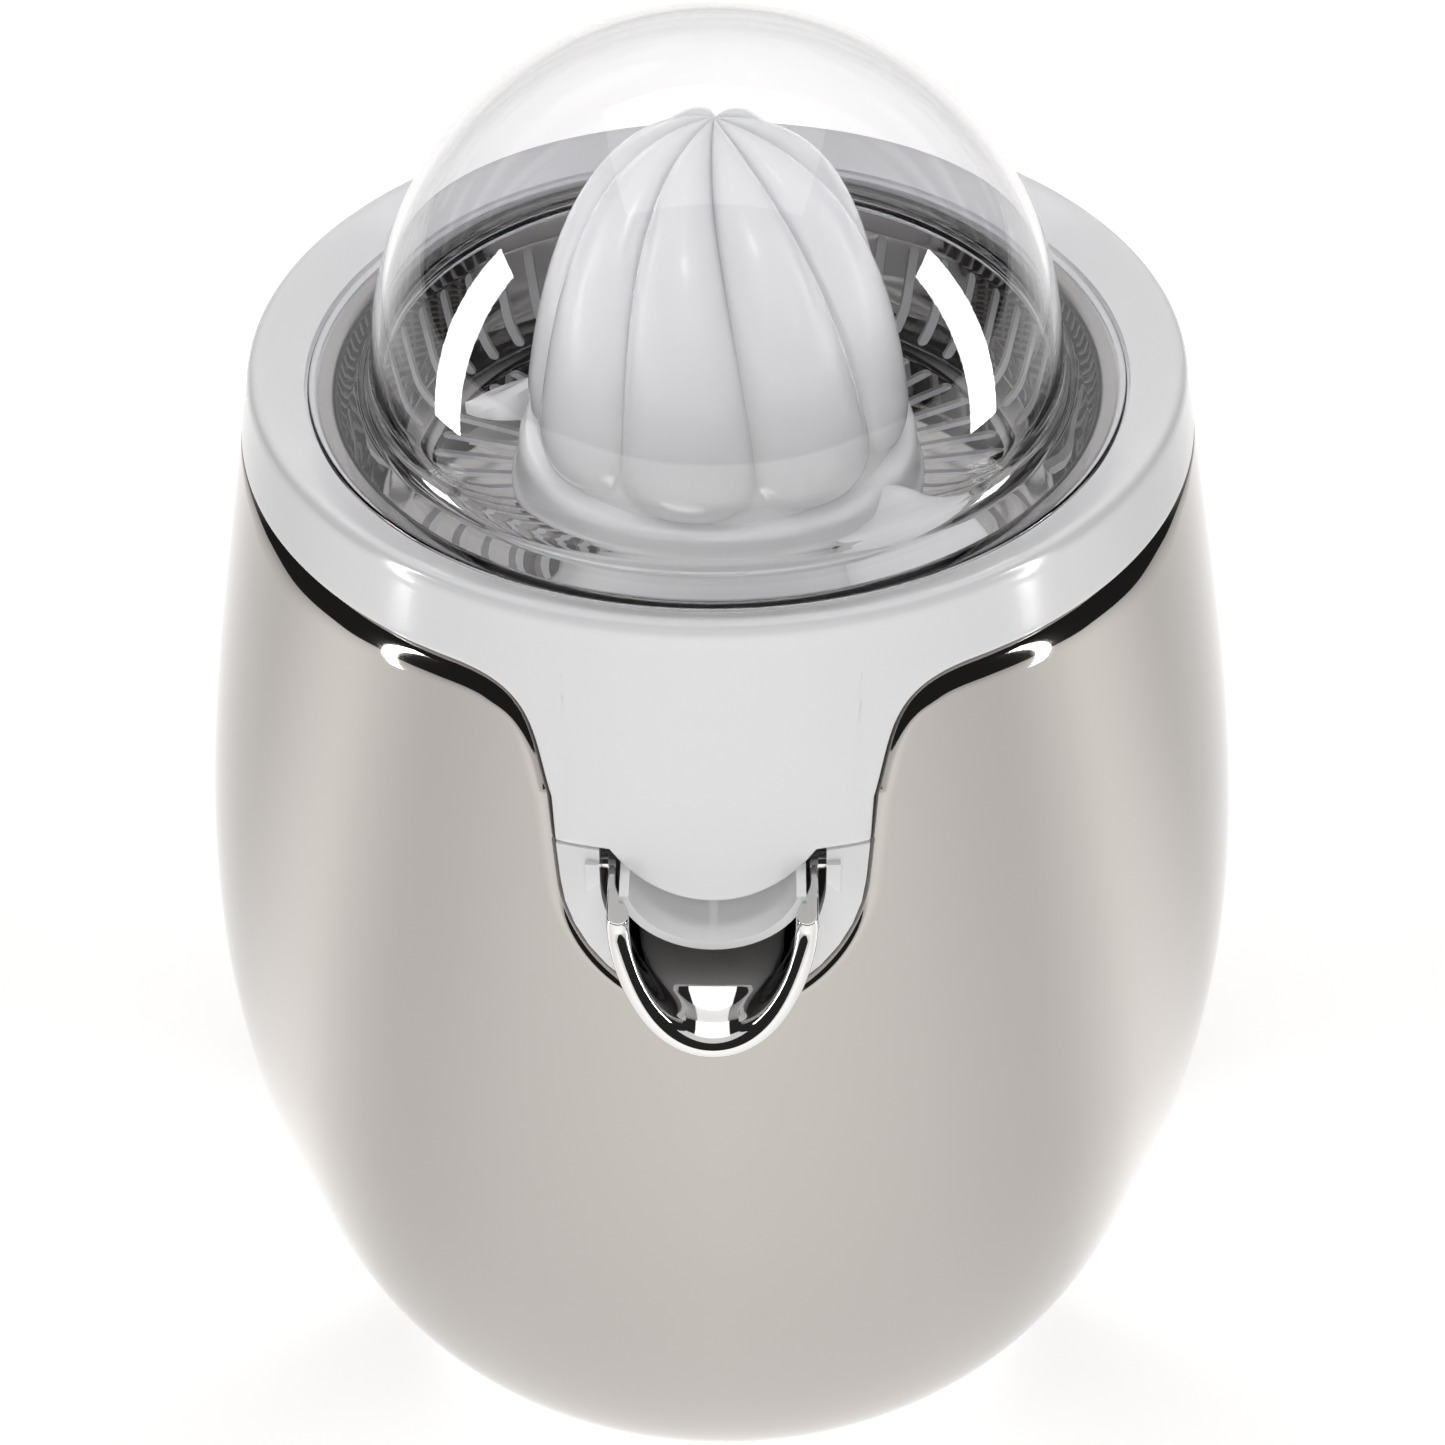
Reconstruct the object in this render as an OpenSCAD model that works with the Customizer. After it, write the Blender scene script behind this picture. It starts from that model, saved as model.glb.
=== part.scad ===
// Citrus press juicer: an egg-shaped steel body on a white base, with a lift-off juice bowl,
// strainer, ribbed cone and clear dust cover, and a tilting drip-stop spout at the front.
// Millimetres, +Z up. The origin is on the vertical axis at the surface it stands on; the spout is at -Y.

/* [Body] */
// Radius at the widest part of the body
body_r = 95; // [94:0.5:96]
// Height of the widest part of the body
widest_z = 90; // [88:1:92]
// Radius where the steel shell meets the base
base_r = 71; // [70:0.5:72]
// Height of the seam between the base and the steel shell
seam_z = 5.4; // [5:0.1:5.8]
// Height of the upper edge of the steel shell
shell_top_z = 193.5; // [193:0.5:194]
// Thickness of the steel shell
steel_t = 1.1; // [0.9:0.1:1.2]
// Thickness of the moulded plastic walls
wall_t = 2.4; // [2.2:0.1:2.6]

/* [Top] */
// Radius of the clear dome
dome_r = 58.3; // [57.8:0.1:58.6]
// Height of the dome's centre
dome_z = 204.2; // [204:0.1:204.4]
// Wall of the clear dome
dome_t = 1.5; // [1.2:0.1:1.8]
// Outer radius of the dome's flange
flange_r = 69.2; // [68.8:0.1:69.4]
// Height of the strainer's floor
strainer_z = 177; // [176.8:0.1:177.2]
// Number of slots in each ring of the strainer
slot_count = 56; // [40:1:60]
// Width of a strainer slot
slot_w = 2.3; // [1.8:0.1:2.6]
// Height of the point of the cone
cone_top_z = 249.3; // [247:0.1:251]
// Radius of the cone above its flange
cone_r = 33; // [32:0.5:33.5]
// Number of lobes on the cone
lobe_count = 8; // [6:1:10]

/* [Spout] */
// Outer radius of the half-round spout
spout_r = 16.3; // [16:0.1:16.5]
// How far the spout's tip lies in front of the vertical axis
spout_reach = 105; // [103:0.5:106]
// Downward slope of the spout in degrees
spout_slope = 8; // [7:0.5:9]

/* [Drive] */
// Height of the top of the drive shaft
shaft_top_z = 212; // [211:0.5:212]
// Radius of the motor
motor_r = 24; // [23:0.5:25]
// Height of the bottom of the motor
motor_z = 32; // [31:1:34]
// Number of turns of the return spring
spring_turns = 6; // [5:1:7]

/* [Hidden] */
$fn = 64;

steel = [0.74, 0.73, 0.72];
white = [0.93, 0.93, 0.94];
grey = [0.45, 0.46, 0.48];
copper = [0.72, 0.45, 0.25];
dark = [0.12, 0.12, 0.13];
nylon = [0.86, 0.84, 0.76];

slip = 0.05;      // radial clearance of a shaft in its bush
gap = 0.35;       // gap between neighbouring trim pieces

// The body's outline: two Bezier curves of [radius, height] that meet at the widest part.
rim_r = 79;
rim_z = 204.5;
egg_low = [[base_r, seam_z], [base_r + 10, seam_z + 1.9], [body_r, widest_z - 38], [body_r, widest_z]];
egg_high = [[body_r, widest_z], [body_r, widest_z + 38], [rim_r + 8.5, rim_z - 47], [rim_r, rim_z]];

// Base
foot_h = 2.5;
foot_in_r = 62.4;
foot_out_r = 66.6;
base_z = 1;
plate_t = 3;
post_ring_r = 58;
post_angles = [20, 160, 210, 330];
post_r = 5;
screw_r = 1.5;
screw_head_r = 3;
inlet_z = 14;
inlet_r = 5;

// Drive train, all on vertical axes. Two pairs of gears turn the cone once for 25 turns of the motor.
pinion_teeth = 12;
wheel_teeth = 60;
fast_module = 0.8;
slow_module = 1;
shaft_r = 4;
pressure_angle = 25;
backlash = 0.24;
fast_distance = fast_module * (pinion_teeth + wheel_teeth) / 2;
slow_distance = slow_module * (pinion_teeth + wheel_teeth) / 2;
idler_at = [0, slow_distance];
motor_at = [-fast_distance, slow_distance];
plate_z = 90;
fast_z = plate_z + plate_t + 3;
fast_w = 7;
slow_z = fast_z + fast_w + 3;
slow_w = 8;
gearbox_top_z = slow_z + slow_w + 7;
motor_wall = 1.5;
rotor_r = 14;
axle_r = 2;
plunger_z = slow_z - 0.7;
guide_r = 8.1;
spring_r = 6;
spring_wire = 0.6;
spring_z = plate_z - 13;
spring_top_z = plunger_z - 4.65;
gearbox_screw_at = [[38.3, 0], [-27.1, -27.1], [27.1, -27.1], [31, 43.2]];
lever_arm = 14;
lever_x = 28;
switch_w = 18.5;

// Deck, bowl and strainer
deck_z = 133;
deck_t = 3;
boss_r = 10;
boss_top_z = 175;
bush_r = 7;
bowl_z = 153.5;
bowl_r = 66.4;
bowl_t = 1.6;
chimney_r = 12.5;
chimney_top_z = 189.5;
ledge_z = 199.9;
strainer_t = 0.8;
strainer_rim_r = 64;
flange_z = ledge_z + 1;
trough_half = 14.4;
trough_arc_r = 15.2;
trough_low_z = 152.5;
trough_top_z = 163.8;
trough_tip = 91;

// Spout
spout_t = 1.2;
spout_z = 161.2;
spout_front = 96;
pivot_at = [-80, 161.2];
pin_r = 1.5;
panel_seam_z = 167.3;
lip_r = 20.2;
lip_z = 159.3;
frame_low_z = 139.5;

// Cone
hub_r = 7;
flat_half = 3;
flats_z = chimney_top_z + 3;
cone_flange_z = strainer_z + 2;
cone_flange_r = 36;
cone_low_z = 187;
wing_tip_r = 49;

function mix(a, b, t) = a + (b - a) * t;
function bezier(c, t) =
    let (p = mix(c[0], c[1], t), q = mix(c[1], c[2], t), r = mix(c[2], c[3], t))
    mix(mix(p, q, t), mix(q, r, t), t);
function bezier_line(c, n) = [for (i = [0:n]) bezier(c, i / n)];
function reversed(list) = [for (i = [len(list) - 1:-1:0]) list[i]];
function arc(x, y, r, from, to, n) =
    [for (i = [0:n]) let (a = mix(from, to, i / n)) [x + r * cos(a), y + r * sin(a)]];

// Where a curve of the outline reaches height z, by halving the interval.
function curve_t(c, z, low = 0, high = 1, steps = 22) =
    let (middle = (low + high) / 2)
    steps == 0 ? middle
        : bezier(c, middle)[1] < z ? curve_t(c, z, middle, high, steps - 1)
        : curve_t(c, z, low, middle, steps - 1);
function egg_r(z) = z < widest_z ? bezier(egg_low, curve_t(egg_low, z))[0]
    : bezier(egg_high, curve_t(egg_high, z))[0];
// Outline points from z1 to z2, closer together near z1, moved inwards by inset.
function egg_line(z1, z2, inset, n, crowd = 1) =
    [for (i = [0:n]) let (z = mix(z1, z2, pow(i / n, crowd))) [egg_r(z) - inset, z]];

// The opening at the front of the shell, as [x, z] points, made bigger all round by grow.
function throat_side(grow) = concat(
    [[40 + grow, shell_top_z + 8]],
    bezier_line([[40 + grow, shell_top_z + 0.5], [27 + grow, shell_top_z - 0.5],
        [28 + grow, 184], [25.4 + grow, 175]], 7),
    bezier_line([[24.2 + grow, 161], [23.6 + grow, 150 - grow],
        [14 + grow, frame_low_z - grow], [0, frame_low_z - grow]], 8));

module throat(grow) {
    side = throat_side(grow);
    polygon(concat(side, [for (i = [len(side) - 2:-1:0]) [-side[i][0], side[i][1]]]));
}

// Extrudes an [x, z] outline towards the front, from y = -60 to y = -120.
module to_front() {
    translate([0, -60, 0]) rotate([90, 0, 0]) linear_extrude(height = 60) children();
}

module egg_band(z1, z2, outer_inset, inner_inset, n, crowd = 1) {
    rotate_extrude($fn = 96)
        polygon(concat(egg_line(z1, z2, outer_inset, n, crowd),
            reversed(egg_line(z1, z2, inner_inset, n, crowd))));
}

module ring(r_out, r_in, z1, z2) {
    translate([0, 0, z1]) difference() {
        cylinder(r = r_out, h = z2 - z1);
        translate([0, 0, -1]) cylinder(r = r_in, h = z2 - z1 + 2);
    }
}

module at_posts() {
    for (a = post_angles) rotate([0, 0, a]) translate([post_ring_r, 0, 0]) children();
}

// A pan-head screw pointing up from height z, head below.
module screw_up(z, length) {
    translate([0, 0, z - 1.8]) cylinder(r = screw_head_r, h = 1.8, $fn = 32);
    translate([0, 0, z]) cylinder(r = screw_r, h = length, $fn = 32);
}

// The same screw pointing down from height z, head above.
module screw_down(z, length) {
    translate([0, 0, z]) cylinder(r = screw_head_r, h = 1.8, $fn = 32);
    translate([0, 0, z - length]) cylinder(r = screw_r, h = length, $fn = 32);
}

// Involute gear outline, a tooth centred on angle turn.
function involute(base, r) = sqrt(pow(r / base, 2) - 1) * 180 / PI - acos(base / r);
function half_tooth(m, teeth, r) =
    let (pitch = m * teeth / 2, base = pitch * cos(pressure_angle))
    90 / teeth - backlash / 2 / pitch * 180 / PI / 2
        + involute(base, pitch) - involute(base, max(r, base));
function gear_points(m, teeth, turn) =
    let (pitch = m * teeth / 2, root = pitch - 1.1 * m, tip = pitch + 0.8 * m,
        start = max(root + 0.01, pitch * cos(pressure_angle)), steps = 3)
    [for (k = [0:teeth - 1]) let (a = turn + k * 360 / teeth) each concat(
        [let (h = half_tooth(m, teeth, start)) root * [cos(a - h), sin(a - h)]],
        [for (i = [0:steps]) let (r = mix(start, tip, i / steps), h = half_tooth(m, teeth, r))
            r * [cos(a - h), sin(a - h)]],
        [for (i = [steps:-1:0]) let (r = mix(start, tip, i / steps), h = half_tooth(m, teeth, r))
            r * [cos(a + h), sin(a + h)]],
        [let (h = half_tooth(m, teeth, start)) root * [cos(a + h), sin(a + h)]])];

// Gear with modulus m.
module gear(m, teeth, turn, width) {
    linear_extrude(height = width) polygon(gear_points(m, teeth, turn));
}

// Bottom moulding: its rim shows as a thin ring under the steel, and a groove holds the rubber ring.
module base_cover() {
    color(white) difference() {
        union() {
            translate([0, 0, base_z]) cylinder(r = base_r - 2.5, h = plate_t, $fn = 96);
            rotate_extrude($fn = 96)
                polygon([[base_r - 7, base_z], [base_r - 2.2, base_z], [base_r - 0.4, base_z + 1.6],
                    [base_r - 0.1, seam_z - 0.1], [base_r - 4, seam_z - 0.1], [base_r - 4, seam_z + 4],
                    [base_r - 6, seam_z + 4], [base_r - 7, seam_z]]);
        }
        ring(foot_out_r + 0.1, foot_in_r - 0.1, base_z - 1, foot_h);
        at_posts() {
            translate([0, 0, base_z - 1]) cylinder(r = screw_head_r + 0.3, h = 2.4, $fn = 32);
            translate([0, 0, base_z]) cylinder(r = screw_r + 0.2, h = plate_t + 1, $fn = 32);
        }
    }
}

// Non-slip rubber ring in a groove of the base.
module foot_ring() {
    color(dark) ring(foot_out_r, foot_in_r, 0, foot_h - 0.01);
}

module base_screws() {
    color(steel) at_posts() screw_up(base_z + 1.39, 12);
}

// Rubber grommet that clips into the hole at the back of the shell, its flanges curved to match.
module cord_inlet() {
    color(grey) difference() {
        intersection() {
            along_inlet(inlet_r + 2);
            egg_band(seam_z, inlet_z + 12, -1.8, steel_t + 1.8, 8);
        }
        difference() {
            egg_band(seam_z, inlet_z + 12, -gap, steel_t + gap, 12);
            along_inlet(inlet_r - slip);
        }
        along_inlet(inlet_r - 2);
    }
}

// Round bar of radius r along the axis of the cord inlet.
module along_inlet(r) {
    translate([0, 60, inlet_z]) rotate([-90, 0, 0]) cylinder(r = r, h = 40, $fn = 48);
}

// Polished steel skin, open at the top and at the throat, with the hole for the cord inlet at the back.
module body_shell() {
    color(steel) difference() {
        egg_band(seam_z, shell_top_z, 0, steel_t, 30, 1.35);
        to_front() throat(0);
        along_inlet(inlet_r);
    }
}

// Frame that carries motor and gearbox: four posts, a round plate and the plunger's guide tube.
module chassis() {
    color(grey) difference() {
        union() {
            translate([0, 0, plate_z]) cylinder(r = post_ring_r + post_r + 2, h = plate_t, $fn = 96);
            at_posts() translate([0, 0, base_z + plate_t])
                cylinder(r = post_r, h = deck_z - base_z - plate_t);
            translate([0, 0, spring_z - 2])
                cylinder(r = guide_r + 2, h = plate_z + plate_t + 8 - spring_z);
        }
        translate([0, 0, spring_z]) cylinder(r = guide_r, h = 40);
        at_gearbox_screws() translate([0, 0, plate_z - 1])
            cylinder(r = screw_r, h = plate_t + 2, $fn = 32);
        at_posts() {
            translate([0, 0, base_z]) cylinder(r = screw_r, h = 14, $fn = 32);
            translate([0, 0, deck_z - 12]) cylinder(r = screw_r, h = 20, $fn = 32);
        }
        translate([motor_at[0], motor_at[1], plate_z - 1]) cylinder(r = 6.5, h = plate_t + 2);
        translate([idler_at[0], idler_at[1], plate_z - 1])
            cylinder(r = axle_r, h = plate_t + 2, $fn = 32);
    }
}

// Joins the mains wires to the motor's: three screw terminals in a row.
module terminal_block() {
    block = [24, 14, 12];
    color(white) translate([-block[0] / 2, 40, base_z + plate_t + 0.01]) difference() {
        cube(block);
        for (k = [0:2]) translate([block[0] * (k + 0.5) / 3, block[1] / 2, 4])
            cylinder(r = 1.6, h = block[2], $fn = 32);
    }
}

// The motor's steel case, closed by the chassis plate above.
module motor_can() {
    color(steel) translate([motor_at[0], motor_at[1], motor_z]) difference() {
        cylinder(r = motor_r, h = plate_z - motor_z - 0.01);
        translate([0, 0, motor_wall])
            cylinder(r = motor_r - motor_wall, h = plate_z - motor_z - 2 * motor_wall);
        translate([0, 0, -1]) cylinder(r = axle_r + slip, h = plate_z, $fn = 32);
    }
}

module stator() {
    color(copper) translate([motor_at[0], motor_at[1], 0])
        ring(motor_r - motor_wall - 0.01, rotor_r + 1, motor_z + 6, plate_z - 8);
}

module rotor() {
    color(steel) translate([motor_at[0], motor_at[1], 0]) {
        translate([0, 0, motor_z - 2])
            cylinder(r = axle_r, h = fast_z + fast_w + 3 - motor_z, $fn = 32);
        translate([0, 0, motor_z + 8]) cylinder(r = rotor_r, h = plate_z - 18 - motor_z);
    }
}

module motor_pinion() {
    color("goldenrod") translate([motor_at[0], motor_at[1], fast_z - 1]) difference() {
        gear(fast_module, pinion_teeth, 0, fast_w + 2);
        translate([0, 0, -1]) cylinder(r = axle_r, h = fast_w + 4, $fn = 32);
    }
}

module idler_axle() {
    color(steel) translate([idler_at[0], idler_at[1], plate_z + 0.01])
        cylinder(r = axle_r - 0.01, h = gearbox_top_z - plate_z - 0.02, $fn = 32);
}

// One moulding: a wheel driven by the motor and a pinion that drives the output gear.
module idler_gear() {
    color(nylon) translate([idler_at[0], idler_at[1], 0]) difference() {
        union() {
            translate([0, 0, fast_z]) gear(fast_module, wheel_teeth, 180 / wheel_teeth, fast_w);
            translate([0, 0, fast_z + fast_w]) gear(slow_module, pinion_teeth, 0, slow_w + 4);
        }
        translate([0, 0, fast_z - 1]) cylinder(r = axle_r + slip, h = 40, $fn = 32);
        for (a = [0:60:300]) rotate([0, 0, a]) translate([14, 0, fast_z - 1])
            cylinder(r = 4.5, h = fast_w + 2, $fn = 32);
    }
}

// Top view of the space inside the gearbox, made bigger all round by grow.
module gearbox_plan(grow) {
    circle(r = wheel_teeth * slow_module / 2 + 3 + grow);
    translate(idler_at) circle(r = wheel_teeth * fast_module / 2 + 2.5 + grow);
    translate(motor_at) circle(r = 8.5 + grow);
}

module at_gearbox_screws() {
    for (p = gearbox_screw_at) translate([p[0], p[1], 0]) children();
}

module gearbox_cover() {
    low = plate_z + plate_t + 0.01;
    color(grey) difference() {
        union() {
            translate([0, 0, low]) linear_extrude(height = gearbox_top_z + 2 - low) gearbox_plan(2);
            at_gearbox_screws() translate([0, 0, low]) cylinder(r = 3.5, h = 8, $fn = 32);
        }
        translate([0, 0, low - 1]) linear_extrude(height = gearbox_top_z - low + 1) gearbox_plan(0);
        translate([0, 0, gearbox_top_z - 1]) cylinder(r = shaft_r + 0.5, h = 4, $fn = 48);
        at_gearbox_screws() translate([0, 0, low - 1]) cylinder(r = screw_r, h = 10, $fn = 32);
    }
}

module gearbox_screws() {
    color(steel) at_gearbox_screws() screw_down(plate_z + plate_t + 8.02, 10.5);
}

module output_gear() {
    color(nylon) difference() {
        union() {
            translate([0, 0, slow_z]) gear(slow_module, wheel_teeth, 180 / wheel_teeth, slow_w);
            translate([0, 0, slow_z + slow_w]) cylinder(r = 9, h = 2);
        }
        translate([0, 0, slow_z - 1]) cylinder(r = shaft_r, h = 20, $fn = 48);
        for (a = [0:60:300]) rotate([0, 0, a]) translate([18, 0, slow_z - 1])
            cylinder(r = 5.5, h = slow_w + 2, $fn = 32);
    }
}

// Blocks that cut two flats on a shaft above height z.
module two_flats(half, z) {
    for (s = [-1, 1]) translate([s * (half + 5), 0, z + 20]) cube([10, 20, 40], center = true);
}

module drive_shaft() {
    color(steel) difference() {
        translate([0, 0, plunger_z]) cylinder(r = shaft_r, h = shaft_top_z - plunger_z, $fn = 48);
        two_flats(flat_half, flats_z);
    }
}

// Slides in the guide tube under the drive shaft and works the switch with its side arm.
module plunger() {
    color(nylon) {
        translate([0, 0, plunger_z - 10]) difference() {
            cylinder(r = guide_r - slip, h = 9.99);
            translate([0, 0, -1]) cylinder(r = spring_r + 1, h = 6.4);
        }
        translate([guide_r - 0.6, -3, plunger_z - 2.6])
            cube([lever_x - lever_arm - guide_r + 1.6, 6, 2.59]);
    }
}

function spring_point(u, a) =
    let (turn = 360 * spring_turns * u, r = spring_r - 0.7 + spring_wire * cos(a))
    [r * cos(turn), r * sin(turn), mix(spring_z + spring_wire, spring_top_z - spring_wire, u)
        + spring_wire * sin(a)];

module return_spring() {
    rings = spring_turns * 14;
    sides = 6;
    points = [for (i = [0:rings]) for (k = [0:sides - 1]) spring_point(i / rings, 360 * k / sides)];
    walls = [for (i = [0:rings - 1]) for (k = [0:sides - 1])
        let (here = i * sides, next = here + sides, beside = (k + 1) % sides)
        [here + k, next + k, next + beside, here + beside]];
    start = [for (k = [0:sides - 1]) k];
    end = [for (k = [sides - 1:-1:0]) rings * sides + k];
    color(steel) polyhedron(points = points, faces = concat(walls, [start], [end]), convexity = 8);
}

// Switch body with two mounting holes and two tabs that carry the lever's hinge.
module micro_switch() {
    color(dark) difference() {
        translate([lever_x - 16, -4, plate_z + plate_t + 0.01]) cube([switch_w, 8, 5.5]);
        for (x = [lever_x - 13, lever_x - 1]) translate([x, 5, plate_z + plate_t + 2.5]) rotate([90, 0, 0])
            cylinder(r = 1, h = 10, $fn = 32);
    }
    color(dark) for (s = [-1, 1]) translate([lever_x - 1.5, s * 3.3 - 0.7, plate_z + plate_t + 5.5])
        difference() {
            cube([3, 1.4, 3.6]);
            translate([1.5, -1, 2]) rotate([-90, 0, 0]) cylinder(r = 0.6, h = 4, $fn = 32);
        }
}

module switch_lever() {
    tip_z = plunger_z - 2.6;
    hinge_z = plate_z + plate_t + 7.5;
    color(steel) {
        translate([lever_x, 4, hinge_z]) rotate([90, 0, 0]) cylinder(r = 0.55, h = 8, $fn = 32);
        rotate([90, 0, 0]) translate([0, 0, -2]) linear_extrude(height = 4)
            polygon([[lever_x, hinge_z + 0.3], [lever_x - lever_arm, tip_z - 0.02],
                [lever_x - lever_arm - 1, tip_z - 0.5], [lever_x - lever_arm, tip_z - 0.6],
                [lever_x, hinge_z - 0.3]]);
    }
}

// Floor under the juice bowl, with the long boss that holds the drive shaft's bush and seal.
module deck() {
    edge_r = egg_r(deck_z + deck_t / 2) - steel_t - 0.5;
    color(white) difference() {
        union() {
            translate([0, 0, deck_z + 0.01]) cylinder(r = edge_r, h = deck_t, $fn = 96);
            translate([0, 0, deck_z + 0.01]) cylinder(r = boss_r, h = boss_top_z - deck_z - 0.01);
            ring(54, 51.5, deck_z + 1, bowl_z - 0.05);
        }
        translate([0, 0, deck_z - 1]) cylinder(r = bush_r, h = 60);
        at_posts() translate([0, 0, deck_z - 1]) cylinder(r = screw_r + 0.2, h = 6, $fn = 32);
    }
}

module deck_screws() {
    color(steel) at_posts() screw_down(deck_z + deck_t + 0.02, 12);
}

module shaft_bush() {
    color("darkgoldenrod") ring(bush_r - 0.01, shaft_r + slip, deck_z + 2, boss_top_z - 4);
}

module shaft_seal() {
    color(dark) ring(bush_r - 0.01, shaft_r + 0.08, boss_top_z - 3.99, boss_top_z - 0.5);
}

// Everything of the spout that turns, before its side holes are drilled.
module spout_body() {
    length = 32;
    intersection() {
        translate([0, -spout_front, spout_z]) rotate([90 + spout_slope, 0, 0]) translate([0, 0, -19])
            difference() {
                cylinder(r = spout_r, h = length);
                translate([0, 0, -1]) cylinder(r = spout_r - spout_t, h = length + 2);
            }
        rotate([90, 0, 90]) translate([0, 0, -spout_r - 1]) linear_extrude(height = 2 * spout_r + 2)
            polygon([[-77, spout_z + 2.6], [-77, 140], [-spout_reach, 138],
                [-spout_reach, spout_z - spout_r - 1.2], [-spout_front, spout_z]]);
    }
    for (s = [-1, 1]) translate([s * (spout_r - spout_t / 2) - spout_t / 2, -84, spout_z - 2])
        cube([spout_t, 7, 5]);
}

module spout() {
    color(steel) difference() {
        spout_body();
        translate([-30, pivot_at[0], pivot_at[1]]) rotate([0, 90, 0])
            cylinder(r = pin_r + slip, h = 60, $fn = 32);
    }
}

module spout_pins() {
    color(steel) for (s = [-1, 1]) translate([s * (spout_r + 1.55), pivot_at[0], pivot_at[1]])
        rotate([0, 90, 0]) cylinder(r = pin_r, h = 5.2, center = true, $fn = 32);
}

// Outline of the spout's channel through the frame.
module channel_outline() {
    half = spout_r + 1.3;
    translate([0, spout_z + 0.4]) circle(r = half);
    translate([-half, spout_z + 0.4]) square([2 * half, 20]);
}

// Lower part of the throat's trim, with two cheeks that hold the spout's pins.
module spout_frame() {
    half = spout_r + 1.3;
    top = panel_seam_z - 0.2;
    cheek_t = 2.2;
    color(white) difference() {
        union() {
            intersection() {
                egg_band(frame_low_z - 2, top, 0, wall_t, 10);
                to_front() throat(-gap);
            }
            intersection() {
                egg_band(frame_low_z - 3, top - 1, steel_t + gap, wall_t, 10);
                to_front() throat(2);
            }
            for (s = [-1, 1]) translate([s * (half + cheek_t / 2) - cheek_t / 2, -85.3, 144])
                cube([cheek_t, 15, top - 146]);
            translate([-half - cheek_t, -85.3, 141.2]) cube([2 * (half + cheek_t), 15, 2.9]);
        }
        to_front() channel_outline();
        translate([-30, pivot_at[0], pivot_at[1]]) rotate([0, 90, 0])
            cylinder(r = pin_r, h = 60, $fn = 32);
    }
}

// Cross-section of the bowl's outlet, smaller all round by inset and open up to height top.
module trough_outline(inset, top) {
    intersection() {
        translate([0, trough_low_z + trough_arc_r]) circle(r = trough_arc_r - inset);
        translate([-trough_half + inset, trough_low_z - 1])
            square([2 * (trough_half - inset), top - trough_low_z + 1]);
    }
}

// Bowl with a central chimney round the shaft and an open outlet that reaches to the front.
module juice_bowl() {
    inner = bowl_r - bowl_t;
    floor_top = bowl_z + bowl_t;
    rim = ledge_z - 2.1;
    color(white) difference() {
        union() {
            rotate_extrude($fn = 96)
                polygon([[chimney_r - 2, bowl_z], [bowl_r, bowl_z], [bowl_r, rim - 1],
                    [bowl_r + 2.4, rim - 1], [bowl_r + 2.4, rim], [inner, rim],
                    [inner, floor_top + 4], [inner - 1.2, floor_top + 1.2], [inner - 4, floor_top],
                    [chimney_r, floor_top], [chimney_r, chimney_top_z],
                    [chimney_r - 2, chimney_top_z]]);
            translate([0, -bowl_r + 3, 0]) rotate([90, 0, 0])
                linear_extrude(height = trough_tip - bowl_r + 3) trough_outline(0, trough_top_z);
        }
        translate([0, -bowl_r + 12, 0]) rotate([90, 0, 0])
            linear_extrude(height = 60) trough_outline(1.5, trough_top_z + 2);
    }
}

module bib_outline() {
    intersection() {
        throat(-gap);
        union() {
            translate([-60, panel_seam_z]) square([120, 60]);
            translate([0, lip_z + lip_r]) circle(r = lip_r);
        }
    }
}

// The white trim round the top, with the front panel that hangs over the bowl's outlet.
module collar() {
    top = 203.5;
    outline = concat(
        egg_line(lip_z - 1, top, 0, 12),
        bezier_line([[egg_r(top), top], [egg_r(top) - 0.4, 206.4], [77.6, 207], [75.2, 205.8]], 5),
        [[flange_r + 0.4, 202.9], [flange_r + 0.4, flange_z], [67.9, flange_z], [67.9, ledge_z],
            [66.5, ledge_z], [66.5, ledge_z - 2], [69, ledge_z - 2], [70.3, 200.3], [74.6, 202.8]],
        reversed(egg_line(lip_z - 1, top - 1.4, wall_t, 12)));
    color(white) intersection() {
        rotate_extrude($fn = 96) polygon(outline);
        union() {
            translate([0, 0, shell_top_z + 0.4]) cylinder(r = 100, h = 30);
            to_front() bib_outline();
        }
    }
}

// Inside outline of the strainer from its centre hole to its rim.
function strainer_line(out) = concat(
    [[14, strainer_z - out], [52, strainer_z - out]],
    arc(51.5, strainer_z + 9, 9 + out, -80, -20, 6),
    [[62.6 + out, 195], [strainer_rim_r + out, ledge_z - 0.6]]);

// Steel bowl with two rings of slots, one in its floor and one in its wall.
module strainer() {
    inside = strainer_line(0);
    outside = strainer_line(strainer_t);
    rim = ledge_z + 0.01;
    color(steel) difference() {
        rotate_extrude($fn = 96) polygon(concat(outside,
            [[66.3, rim], [67.5, rim], [67.5, rim + 0.8], [strainer_rim_r + 0.6, rim + 0.8]],
            reversed(inside)));
        for (k = [0:slot_count - 1]) rotate([0, 0, (k + 0.5) * 360 / slot_count]) {
            translate([30, -slot_w / 2, strainer_z - 2]) cube([22, slot_w, 3]);
            translate([56, -slot_w / 2, strainer_z - 1]) cube([12, slot_w, 194 - strainer_z]);
        }
    }
}

module cone_bush() {
    color(nylon) {
        ring(chimney_r - 2 - 0.1, hub_r + slip, chimney_top_z - 7, chimney_top_z + 0.02);
        ring(chimney_r, hub_r + slip, chimney_top_z + 0.01, chimney_top_z + 1.6);
    }
}

module thrust_disc() {
    color(steel) translate([0, 0, shaft_top_z + 0.01]) cylinder(r = 2.8, h = 0.98, $fn = 48);
}

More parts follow.
